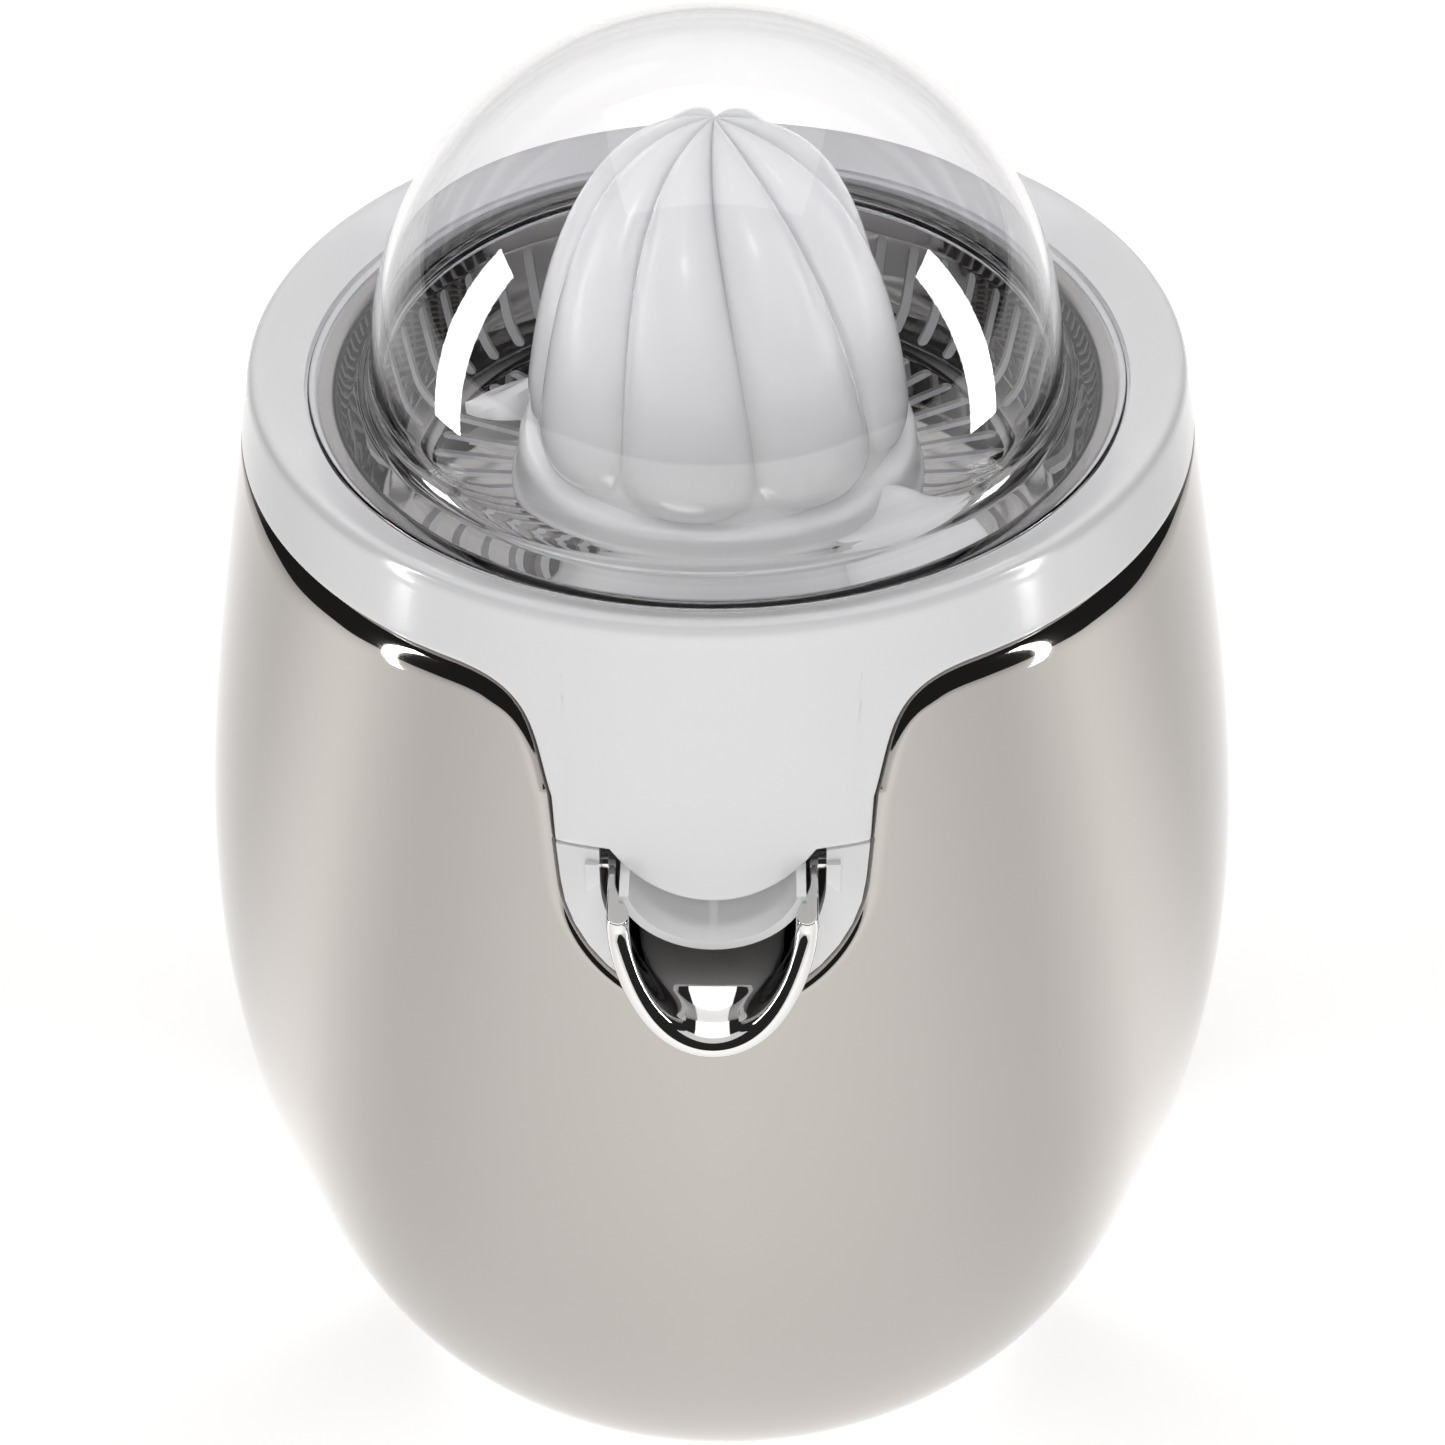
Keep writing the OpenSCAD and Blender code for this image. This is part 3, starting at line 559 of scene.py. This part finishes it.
def build_dome():
    low = FLANGE_Z
    top = low + DOME_T
    inner = DOME_R - DOME_T
    foot = 1.6
    profile = arc(0, DOME_Z, DOME_R, 90 - 1e-3, 3.5, 60)
    profile += bezier_line([profile[-1], (DOME_R + 0.1, 204.6), (DOME_R + 0.6, top), (DOME_R + foot + 1.4, top)], 8)[1:]
    profile += arc(FLANGE_R - DOME_T / 2, low + DOME_T / 2, DOME_T / 2, 90, -90, 10)
    profile += [(DOME_R + 0.6, low)]
    profile += bezier_line([(DOME_R + 0.6, low), (inner + 0.9, low), (inner, low + 0.6), (inner, DOME_Z)], 6)[1:]
    profile += arc(0, DOME_Z, inner, 2, 90 - 1e-3, 50)
    verts, faces = lathe(profile, 192)
    return make("clear_dome_cover", verts, faces, "cover", CLEAR, ["dome_cover"], 50)


# ---- strainer ----
def strainer_line():
    """Rows of the strainer's inner face as (r, z, slot half-width in mm or None)."""
    rows = []
    half = SLOT_W / 2
    ends = (0.0, 0.12, 0.35, 0.7, 1.15)

    def span(points, start, stop):
        """Rows between two distances along points, with the slot's round ends at both."""
        marks = sorted(
            {start + e for e in ends} | {stop - e for e in ends}
            | {mix(start + half, stop - half, i / 8) for i in range(1, 8)}
        )
        for s in marks:
            e = min(s - start, stop - s, half)
            w = math.sqrt(max(0.0, half**2 - (half - e) ** 2))
            r, z = at_length(points, s)
            rows.append((r, z, max(w, 0.06), s - start > 1e-9 and stop - s > 1e-9))

    line = [(14, STRAINER_Z), (52, STRAINER_Z)]
    line += arc(51.5, STRAINER_Z + 9, 9, -86, -20, 14)
    line += [(62.6, 195), (64, 199.3)]
    first = 30.0 - 14
    rows.append((14, STRAINER_Z, half, False))
    rows.append((22, STRAINER_Z, half, False))
    rows.append((29.4, STRAINER_Z, 0.3, False))
    span(line, first, first + 22)
    mid = first + 22
    rows.append((*at_length(line, mid + 0.6), 0.3, False))
    rows.append((*at_length(line, mid + 3.0), 0.3, False))
    low = mid + 4.0
    high = length_at_height(line, 194.0)
    rows.append((*at_length(line, low - 0.5), 0.3, False))
    span(line, low, high)
    rows.append((*at_length(line, high + 0.6), 0.3, False))
    rows.append((63.4, 197.2, half, False))
    rows += [(r, z, half, False) for r, z in [(64.0, 199.2), (64.3, 200.1), (64.8, 200.55), (65.6, 200.7), (67.3, 200.7)]]
    return rows


def at_length(points, s):
    for (r0, z0), (r1, z1) in zip(points, points[1:]):
        step = math.hypot(r1 - r0, z1 - z0)
        if s <= step:
            return mix(r0, r1, s / step), mix(z0, z1, s / step)
        s -= step
    return points[-1]


def length_at_height(points, height):
    s = 0.0
    for (r0, z0), (r1, z1) in zip(points, points[1:]):
        step = math.hypot(r1 - r0, z1 - z0)
        if z1 >= height and z0 < height:
            return s + step * (height - z0) / (z1 - z0)
        s += step
    return s


def build_strainer():
    rows = strainer_line()
    pitch = 2 * math.pi / SLOTS
    side, across = 3, 4
    per = 2 * side + across
    verts = []
    for k in range(SLOTS):
        centre = (k + 0.5) * pitch
        for c in range(per):
            for r, z, w, _ in rows:
                h = w / r
                if c < side:
                    a = mix(-pitch / 2, -h, c / side)
                elif c <= side + across:
                    a = mix(-h, h, (c - side) / across)
                else:
                    a = mix(h, pitch / 2, (c - side - across) / side)
                # The CAD slots are counted from +X; angles here run from -Y.
                turn = centre + a + math.pi / 2
                verts.append((r * math.sin(turn), -r * math.cos(turn), z))
    n = len(rows)
    faces = []
    for i in range(SLOTS * per):
        j = (i + 1) % (SLOTS * per)
        c = i % per
        for q in range(n - 1):
            open_here = side <= c < side + across and (rows[q][3] or rows[q + 1][3]) and in_span(rows, q)
            if not open_here:
                faces.append((i * n + q, j * n + q, j * n + q + 1, i * n + q + 1))
    piece = make("steel_strainer", verts, faces, "strainer", SIEVE_STEEL, ["strainer"], None)
    solid = piece.modifiers.new("wall", "SOLIDIFY")
    solid.thickness = STRAINER_T * MM
    solid.offset = -1 if outward_up(piece) else 1
    solid.use_even_offset = True
    edge = piece.modifiers.new("edge", "BEVEL")
    edge.width = 0.16 * MM
    edge.segments = 2
    edge.limit_method = "ANGLE"
    edge.angle_limit = math.radians(50)
    edge.harden_normals = True
    return piece


def in_span(rows, q):
    """True where the strip between row q and the next lies in a slot."""
    return rows[q][3] or rows[q + 1][3]


def outward_up(piece):
    """True if the faces of the strainer's floor look up."""
    total = sum(p.normal.z for p in piece.data.polygons if p.center.z < (STRAINER_Z + 1) * MM)
    return total > 0


# ---- cone ----
LOBE_TWIST = -22.0
CREST = [(33.8, 190.0), (31.0, 208), (28.0, 244.6), (0, CONE_TOP - 0.7)]
VALLEY = [(31.0, 190.6), (28.0, 206), (21.5, 236), (0, CONE_TOP - 1.1)]


def lobe_radius(delta, t):
    """Share between valley 0 and crest 1 at delta degrees from a lobe's middle and place t up the cone."""
    half = FULL_TURN / LOBES / 2
    x = abs(delta) / half
    end = 0.17
    y = max(0.0, (end - t) / end)
    q = x**2.2 + y**2.4
    return max(0.0, 1 - q) ** 0.65 if q < 1 else 0.0


def build_cone():
    columns = LOBES * 30
    skirt = [(31.0, 179.0), (35.5, 179.0), (35.9, 179.15), (36.0, 179.6), (36.0, 180.4), (35.8, 181.1), (35.4, 181.6)]
    skirt += bezier_line([(35.4, 181.6), (34.9, 182.4), (34.7, 184.5), (34.4, 187.6)], 8)[1:]
    skirt += bezier_line([(34.4, 187.6), (34.2, 189.2), (33.4, 190.0), (32.2, 190.2)], 6)[1:]
    inner = [(0.01, 228), (8, 228), (18, 219), (26, 206), (28.6, 195), (29.6, 183), (29.8, 179.0)]
    rows = 64
    verts = []
    for i in range(columns):
        degrees = FULL_TURN * i / columns
        delta = (degrees + FULL_TURN / LOBES / 2) % (FULL_TURN / LOBES) - FULL_TURN / LOBES / 2
        line = [(degrees + LOBE_TURN, r, z) for r, z in skirt]
        for k in range(rows + 1):
            t = k / rows
            share = lobe_radius(delta, t)
            (r0, z0), (r1, z1) = bezier(VALLEY, t), bezier(CREST, t)
            turned = degrees + LOBE_TURN + LOBE_TWIST * t * t
            line.append((turned, max(0.01, mix(r0, r1, share)), mix(z0, z1, share)))
        line += [(degrees + LOBE_TURN, r, z) for r, z in inner]
        for turned, r, z in line:
            a = math.radians(turned)
            verts.append((r * math.sin(a), -r * math.cos(a), z))
    per = len(verts) // columns
    faces = grid_faces(columns, per, True, True)
    piece = make("ribbed_cone", verts, faces, "cone", CONE_WHITE, ["reamer_cone"], 60)
    return piece


def build_cone_hub():
    """The hub and its cross walls inside the cone."""
    profile = [(4.1, 179.4), (7, 179.4), (7, 228.6), (4.1, 228.6)]
    verts, faces = lathe(profile, 64)
    count = len(verts)
    for turn in range(4):
        a = math.radians(45 + 90 * turn)
        out = Vector((math.sin(a), -math.cos(a), 0))
        side = Vector((math.cos(a), math.sin(a), 0)) * 0.8
        outline = [(6.8, 197), (27.9, 197), (25.4, 207), (18.5, 219.2), (8.5, 228.2), (6.8, 228.4)]
        for s in (side, -side):
            verts += [tuple(out * r + s + Vector((0, 0, z))) for r, z in outline]
        n = len(outline)
        faces.append(tuple(count + k for k in range(n)))
        faces.append(tuple(count + n + k for k in reversed(range(n))))
        for k in range(n):
            m = (k + 1) % n
            faces.append((count + k, count + n + k, count + n + m, count + m))
        count += 2 * n
    return make("cone_hub", verts, faces, "cone", CONE_WHITE, (), 35)


def wing_mesh(turn):
    """A pulp wing: a leaf-shaped foot with a curved fin that falls from the skirt to its tip."""
    steps, verts = 24, []
    for i in range(steps + 1):
        t = i / steps
        # Foot: lower (leading) edge and upper (trailing) edge, both as (angle, radius) on the strainer's floor.
        lead = bezier([(34, 35.0), (41, 40.5), (56, 46.0), (69, 49.0)], t)
        tail = bezier([(60, 33.5), (66, 37.5), (71, 42.5), (69, 49.0)], t)
        height = mix(189.5, 181.6, smooth(0.0, 1.0, t) ** 0.9)
        low = 179.2
        across = []
        for angle, radius in (lead, tail):
            a = math.radians(angle + turn)
            across.append(Vector((radius * math.sin(a), -radius * math.cos(a), 0)))
        front, back = across
        section = [
            (0.0, low), (0.0, low + 1.6), (0.10, low + 2.3), (0.30, mix(low + 2.5, height, 0.10)),
            (0.52, mix(low + 2.8, height, 0.45)), (0.66, mix(low + 2.8, height, 0.85)), (0.78, height),
            (0.90, height - 0.3), (1.0, height - 1.3), (1.0, low),
        ]
        verts += [tuple(mix(front, back, s) + Vector((0, 0, z))) for s, z in section]
    rows = len(section)
    faces = grid_faces(steps + 1, rows, False, True)
    faces.append(tuple(range(rows)))
    faces.append(tuple(steps * rows + k for k in reversed(range(rows))))
    return verts, faces


def build_wings():
    made = []
    for name, turn in (("wing_right", 0), ("wing_left", 180)):
        verts, faces = wing_mesh(turn)
        piece = make(name, verts, faces, "cone", CONE_WHITE, (), 50)
        made.append(bevel(piece, 0.5, 2))
    return made


# ---- spout ----
SCOOP_DROP = 4.2


def build_spout():
    """Half pipe that slopes forwards and dips at the front like a scoop, with a full round lip."""
    slope = math.radians(SPOUT_SLOPE)
    ahead = Vector((0, -math.cos(slope), -math.sin(slope)))
    up = Vector((0, -math.sin(slope), math.cos(slope)))
    side = Vector((1, 0, 0))
    origin = Vector((0, -SPOUT_FRONT, SPOUT_Z))
    lip = 1.75
    wall = SPOUT_T
    rear = -18.6
    columns = 56
    loop_rows = None
    verts = []
    for i in range(columns + 1):
        phi = math.radians(mix(-94, 94, i / columns))
        radial = side * math.sin(phi) - up * math.cos(phi)
        depth = SPOUT_R * math.cos(phi)
        reach = (SPOUT_REACH - SPOUT_FRONT + 0.4) * max(0.0, depth) / SPOUT_R
        front = reach - 0.4
        points = []
        outer, inner = SPOUT_R, SPOUT_R - wall
        for k in range(14):
            points.append((mix(rear, front - lip, k / 13), outer))
        for k in range(1, 12):
            b = math.pi * k / 12
            points.append((front - lip + lip * math.sin(b), outer - lip + lip * math.cos(b)))
        points.append((front - lip, outer - 2 * lip))
        for k in range(1, 8):
            t = k / 7
            points.append((front - lip - 7 * t, mix(outer - 2 * lip, inner, smooth(0, 1, t))))
        for k in range(1, 8):
            points.append((mix(front - lip - 7, rear, k / 7), inner))
        for s, r in points:
            p = origin + ahead * s + radial * r
            dip = smooth(-2.0, SPOUT_REACH - SPOUT_FRONT, s) * SCOOP_DROP * max(0.0, math.cos(phi)) ** 0.4
            verts.append((p.x, max(p.y, 0.05 - SPOUT_REACH), p.z - dip))
        loop_rows = len(points)
    faces = grid_faces(columns + 1, loop_rows, False, True)
    faces.append(tuple(range(loop_rows)))
    faces.append(tuple(columns * loop_rows + k for k in reversed(range(loop_rows))))
    piece = make("steel_spout", verts, faces, "spout", BRIGHT_STEEL, ["spout"], 50)
    return bevel(piece, 0.3, 2, 60)


def build_spout_ears():
    """The two ears that the spout turns on, with their pin holes."""
    for name, s in (("spout_ear_right", 1), ("spout_ear_left", -1)):
        outline = [(-84.5, 159.4), (-76.9, 159.4), (-76.9, 164.4), (-84.5, 164.4)]
        x0, x1 = s * (SPOUT_R - SPOUT_T), s * SPOUT_R
        hole = [(PIVOT_Y + 1.55 * math.cos(2 * math.pi * k / 24), SPOUT_Z + 1.55 * math.sin(2 * math.pi * k / 24)) for k in range(24)]
        rim = []
        for k in range(24):
            a = 2 * math.pi * k / 24
            c, d = math.cos(a), math.sin(a)
            scale = min(
                (outline[1][0] - PIVOT_Y) / c if c > 1e-6 else (outline[0][0] - PIVOT_Y) / c if c < -1e-6 else 99,
                (outline[2][1] - SPOUT_Z) / d if d > 1e-6 else (outline[0][1] - SPOUT_Z) / d if d < -1e-6 else 99,
            )
            rim.append((PIVOT_Y + c * scale, SPOUT_Z + d * scale))
        verts, faces = [], []
        for x in (x0, x1):
            verts += [(x, y, z) for y, z in hole] + [(x, y, z) for y, z in rim]
        for k in range(24):
            m = (k + 1) % 24
            faces.append((k, m, 24 + m, 24 + k))
            faces.append((48 + k, 72 + k, 72 + m, 48 + m))
            faces.append((k, 48 + k, 48 + m, m))
            faces.append((24 + k, 24 + m, 72 + m, 72 + k))
        make(name, verts, faces, "spout", BRIGHT_STEEL, (), 40)


# ---- studio ----
# How bright the floor glows against the angle from the front, as a share of a half turn: painted light, whose uneven
# glow puts painted bright streaks in the steel body's reflections.
FLOOR_PAINTED_GLOW = [
    (0.0, 0.85), (0.2, 0.72), (0.33, 0.48), (0.41, 0.85), (0.46, 1.0), (0.53, 0.72), (0.6, 0.45), (0.75, 0.68), (1.0, 0.9)
]




def floor_material():
    """A pale table, white, that also glows as painted light though it is no lamp: brighter in some directions round the
    juicer than in others, which paints bright streaks into the steel body's reflections and fills the shade at its
    foot.
    """
    m = finish("studio_floor", (0.88, 0.88, 0.88), rough=0.9, vary=0.02, tint=0.004, bump=0.0, scale=3, shine=0.1)
    t = m.node_tree
    s = next(n for n in t.nodes if n.type == "BSDF_PRINCIPLED")
    # Painted light: the floor glows though it is no lamp; the strength of the glow by direction is set below.
    s.inputs["Emission Color"].default_value = (1.0, 0.985, 0.97, 1)
    where = node_of(t, "ShaderNodeTexCoord", -900, -500)
    parts = node_of(t, "ShaderNodeSeparateXYZ", -700, -500)
    t.links.new(where.outputs["Object"], parts.inputs[0])
    front = node_of(t, "ShaderNodeMath", -500, -600, operation="MULTIPLY")
    front.inputs[1].default_value = -1.0
    t.links.new(parts.outputs["Y"], front.inputs[0])
    turn = node_of(t, "ShaderNodeMath", -300, -500, operation="ARCTAN2")
    t.links.new(parts.outputs["X"], turn.inputs[0])
    t.links.new(front.outputs[0], turn.inputs[1])
    size = node_of(t, "ShaderNodeMath", -100, -500, operation="ABSOLUTE")
    t.links.new(turn.outputs[0], size.inputs[0])
    share = node_of(t, "ShaderNodeMath", 0, -500, operation="DIVIDE")
    share.inputs[1].default_value = math.pi
    t.links.new(size.outputs[0], share.inputs[0])
    ramp = node_of(t, "ShaderNodeValToRGB", 200, -500)
    ramp.color_ramp.interpolation = "B_SPLINE"
    while len(ramp.color_ramp.elements) < len(FLOOR_PAINTED_GLOW):
        ramp.color_ramp.elements.new(0.5)
    for element, (place, glow) in zip(ramp.color_ramp.elements, FLOOR_PAINTED_GLOW):
        element.position = place
        element.color = (glow, glow, glow, 1)
    t.links.new(share.outputs[0], ramp.inputs[0])
    # Painted light: the uneven glow by direction drives the floor's emission strength.
    t.links.new(ramp.outputs[0], s.inputs["Emission Strength"])
    return m


def build_floor():
    size, steps = 3.2, 8
    verts = [(mix(-size, size, i / steps) / MM, mix(-size, size, k / steps) / MM, 0) for i in range(steps + 1) for k in range(steps + 1)]
    mesh = bpy.data.meshes.new("floor")
    mesh.from_pydata([tuple(c * MM for c in v) for v in verts], [], grid_faces(steps + 1, steps + 1, False, False))
    floor = bpy.data.objects.new("floor", mesh)
    bpy.context.scene.collection.objects.link(floor)
    floor.data.materials.append(floor_material())


def build_world():
    world = bpy.data.worlds.new("studio")
    bpy.context.scene.world = world
    world.use_nodes = True
    t = world.node_tree
    t.nodes.clear()
    out = node_of(t, "ShaderNodeOutputWorld", 900)
    light = node_of(t, "ShaderNodeBackground", 700)
    where = node_of(t, "ShaderNodeTexCoord", -600)
    parts = node_of(t, "ShaderNodeSeparateXYZ", -400)
    t.links.new(where.outputs["Generated"], parts.inputs[0])
    front = node_of(t, "ShaderNodeMapRange", -100, 100)
    front.interpolation_type = "SMOOTHSTEP"
    front.inputs["From Min"].default_value = 0.45
    front.inputs["From Max"].default_value = 0.85
    front.inputs["To Min"].default_value = 0.03
    front.inputs["To Max"].default_value = 0.9
    t.links.new(parts.outputs["Y"], front.inputs["Value"])
    t.links.new(front.outputs[0], light.inputs["Strength"])
    t.links.new(light.outputs[0], out.inputs[0])


def softbox(
    name, place, target, width, height, power,
    glossy=True, diffuse=True, through=False, only_on=(), not_on=(), blocked_by=(),
):
    """A rectangular lamp; the last three lists limit the pieces it lights and the ones that shade it."""
    data = bpy.data.lights.new(name, "AREA")
    data.shape = "RECTANGLE"
    data.size = width
    data.size_y = height
    data.energy = power
    lamp = bpy.data.objects.new(name, data)
    bpy.context.scene.collection.objects.link(lamp)
    place, target = Vector(place), Vector(target)
    lamp.location = place
    lamp.rotation_euler = (target - place).to_track_quat("-Z", "Y").to_euler()
    lamp.visible_camera = False
    lamp.visible_glossy = glossy
    lamp.visible_diffuse = diffuse
    lamp.visible_transmission = through
    if only_on or not_on:
        chosen = bpy.data.collections.new("lit_by_" + name)
        for piece in (*only_on, *not_on):
            chosen.objects.link(piece)
        for entry in chosen.collection_objects:
            entry.light_linking.link_state = "INCLUDE" if only_on else "EXCLUDE"
        lamp.light_linking.receiver_collection = chosen
    if blocked_by:
        shades = bpy.data.collections.new("shades_" + name)
        for piece in blocked_by:
            shades.objects.link(piece)
        lamp.light_linking.blocker_collection = shades
    return lamp


def build_lights(lit):
    strip_x, strip_high = 0.56, 0.48
    middle = 0.02 + strip_high / 2
    aim = (0, 0, middle)
    top = (0, 0, 0.22)
    clear = [lit["dome"]]
    cone = [lit["cone"], *lit["wings"]]
    inside = [lit["strainer"], *cone]
    skin = [lit["shell"], lit["trim"], lit["spout"]]
    bowl = [o for o in bpy.context.scene.objects if o.type == "MESH" and o.name.startswith("juice_bowl")]
    for name, s in (("left", -1), ("right", 1)):
        place = (s * strip_x, -0.02, middle)
        softbox("strip_" + name, place, aim, 0.115, strip_high, 4.0, diffuse=False, only_on=clear)
        softbox("glint_" + name, place, aim, 0.07, strip_high, 1.2, diffuse=False, through=True, only_on=inside)
        softbox("edge_" + name, (s * 0.5, -0.2, middle), aim, 0.03, strip_high, 1.2, diffuse=False, only_on=skin)
    softbox("overhead", (0, 0.25, 1.35), (0, 0, 0.2), 1.2, 1.0, 5.6, not_on=[lit["strainer"]])
    softbox("fill_front", (0, -1.1, 0.9), (0, 0, 0.15), 1.0, 0.8, 6.4, glossy=False)
    softbox("bowl_fill", (0, -0.1, 0.9), (0, 0, 0.18), 0.4, 0.4, 1.5, glossy=False, only_on=bowl, blocked_by=bowl)
    softbox("window", (-0.7, 0.83, 0.74), top, 0.36, 0.3, 5.0, diffuse=False, through=True, only_on=cone)
    softbox("front_glint", (0, -0.9, 0.85), top, 0.3, 0.12, 2.0, diffuse=False, through=True, only_on=inside)
    softbox(
        "low_glint", (-0.05, -0.14, 0.09), (0, 0, 0.19), 0.09, 0.02, 0.07,
        diffuse=False, only_on=cone, blocked_by=cone,
    )
    softbox("scoop_light", (0, -0.45, 1.1), (0, -0.1, 0.15), 1.6, 0.6, 2.4, diffuse=False, only_on=[lit["spout"]])
    softbox("cone_fill", (0, -0.7, 0.34), (0, 0, 0.2), 0.5, 0.3, 2.1, glossy=False, only_on=cone, blocked_by=cone)
    softbox("cone_top", (-0.2, -0.1, 1.0), (0, 0, 0.2), 0.4, 0.4, 1.6, glossy=False, only_on=cone, blocked_by=cone)
    softbox("collar_light", (0, 0.35, 1.0), (0, 0, 0.2), 0.5, 0.4, 1.2, glossy=False, only_on=[lit["trim"]])
    softbox("kick", (0, -0.45, 0.04), (0, -0.09, 0.165), 0.3, 0.1, 0.12, glossy=False, only_on=[lit["trim"]])


def build_camera():
    """The camera looks down at the juicer from the front, a little turned about its own axis."""
    height, distance = 0.48946, 0.43637
    turn, tilt, roll = math.radians(1.05), math.radians(52.78), math.radians(-0.68)
    data = bpy.data.cameras.new("camera")
    data.lens = 76.6
    data.sensor_width = 36
    data.shift_x = 0.0021
    data.shift_y = -0.1069
    data.clip_start = 0.01
    camera = bpy.data.objects.new("camera", data)
    bpy.context.scene.collection.objects.link(camera)
    camera.matrix_world = (
        Matrix.Rotation(turn, 4, "Z") @ Matrix.Translation((0, -distance, height))
        @ Matrix.Rotation(tilt, 4, "X") @ Matrix.Rotation(roll, 4, "Z")
    )
    bpy.context.scene.camera = camera


paint_nodes()
shell = build_shell()
trim = build_collar()
dome = build_dome()
strainer = build_strainer()
cone = build_cone()
build_cone_hub()
wings = build_wings()
spout = build_spout()
build_spout_ears()
build_floor()
build_world()
build_lights({
    "dome": dome, "strainer": strainer, "cone": cone, "wings": wings, "shell": shell, "trim": trim, "spout": spout,
})
build_camera()
bpy.context.scene.view_settings.view_transform = "Standard"
